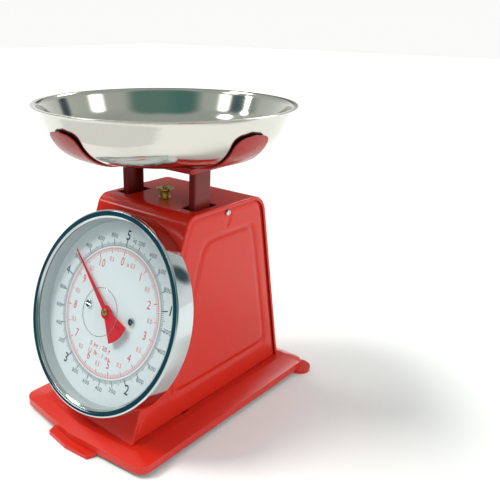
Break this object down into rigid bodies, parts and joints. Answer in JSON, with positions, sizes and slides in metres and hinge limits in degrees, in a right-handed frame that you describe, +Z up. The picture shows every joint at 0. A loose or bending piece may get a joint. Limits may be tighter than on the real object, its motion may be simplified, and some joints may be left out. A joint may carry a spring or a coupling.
{
  "type": "kitchen scale",
  "caption": "Mechanical kitchen scale: round leaning dial on a tapered housing, with a metal bowl on a sprung cross that drives the pointer through a rack and pinion.",
  "frame": {"origin": "on the table, under the middle of the whole scale seen from above", "axes": "+Z up, the dial faces -Y, +X to the right of someone reading the dial"},
  "size_m": [0.22, 0.26, 0.2777],
  "materials": {
    "red_paint": "gloss",
    "steel": "bright zinc plate",
    "stainless": "mirror polished",
    "chrome": "mirror polished",
    "brass": "satin",
    "white_print": "satin print",
    "white_plastic": "matt",
    "clear": "clear",
    "red_pointer": "satin",
    "spring_wire": "bright",
    "dark_red_paint": "gloss",
    "black_ink": "print",
    "red_ink": "print"
  },
  "bodies": {
    "housing": {"base_tray": "red_paint", "base_screws": "steel", "housing_shell": "red_paint", "side_panel_right": "red_paint", "side_panel_left": "red_paint", "side_screws": "chrome", "rear_screws": "chrome", "dial_pan": "steel", "pan_screws": "steel", "dial_standoffs": "steel", "dial_plate": "white_print", "dial_screws": "chrome", "spacer_ring": "white_plastic", "lens": "clear", "bezel": "chrome", "gear_bracket": "steel", "bracket_screws": "steel", "front_bush": "brass", "rear_bush": "brass", "movement_frame": "steel", "upper_pivot_rod": "steel", "lower_pivot_rod": "steel"},
    "load_frame": {"post_right": "dark_red_paint", "post_left": "dark_red_paint", "post_pins": "steel", "crossbar": "red_paint", "carrier_rivets": "steel", "bowl_carrier": "red_paint", "load_yoke": "steel", "drive_pin": "steel"},
    "bowl": {"bowl": "stainless"},
    "upper_arm": {"upper_arm": "steel"},
    "lower_arm": {"lower_arm": "steel"},
    "rack": {"rack": "brass"},
    "pointer": {"pointer": "red_pointer", "pointer_cap": "brass", "pointer_shaft": "steel", "pinion": "brass"},
    "zero_knob": {"zero_knob": "brass"},
    "spring_hanger": {"spring_hanger": "brass", "spring_left": "spring_wire", "spring_right": "spring_wire"}
  },
  "joints": [
    {"name": "load_slide", "type": "slide", "parent": "housing", "child": "load_frame", "axis": [0, 0, 1], "range_m": [-0.0217, 0], "stiffness_N_per_m": 2603, "springref_m": 0.004, "deforming": ["spring_left", "spring_right"]},
    {"name": "bowl_lift", "type": "slide", "parent": "load_frame", "child": "bowl", "axis": [0, 0, 1], "range_m": [0, 0.08]},
    {"name": "upper_arm_hinge", "type": "hinge", "parent": "housing", "child": "upper_arm", "pos_m": [0, 0.05, 0.135], "axis": [1, 0, 0], "range_deg": [0, 22.2]},
    {"name": "lower_arm_hinge", "type": "hinge", "parent": "housing", "child": "lower_arm", "pos_m": [0, 0.05, 0.075], "axis": [1, 0, 0], "range_deg": [0, 22.2]},
    {"name": "rack_slide", "type": "slide", "parent": "housing", "child": "rack", "axis": [0, 0.3584, 0.9336], "range_m": [-0.0203, 0]},
    {"name": "pointer_turn", "type": "hinge", "parent": "housing", "child": "pointer", "pos_m": [0, -0.06786, 0.1057], "axis": [0, -0.9336, 0.3584], "range_deg": [-415, 0]},
    {"name": "hanger_slide", "type": "slide", "parent": "housing", "child": "spring_hanger", "axis": [0, 0, 1], "range_m": [-0.0021, 0.0021]},
    {"name": "zero_knob_turn", "type": "hinge", "parent": "housing", "child": "zero_knob", "pos_m": [0, -0.0055, 0.2], "axis": [0, 0, 1], "range_deg": [-1085, 1085]}
  ],
  "couplings": [
    {"joint": "upper_arm_hinge", "follows": "load_slide", "rad_per_m": -17.794},
    {"joint": "lower_arm_hinge", "follows": "load_slide", "rad_per_m": -17.794},
    {"joint": "rack_slide", "follows": "load_slide", "ratio": 0.93358},
    {"joint": "pointer_turn", "follows": "load_slide", "rad_per_m": 333.42},
    {"joint": "zero_knob_turn", "follows": "hanger_slide", "rad_per_m": -8976}
  ]
}
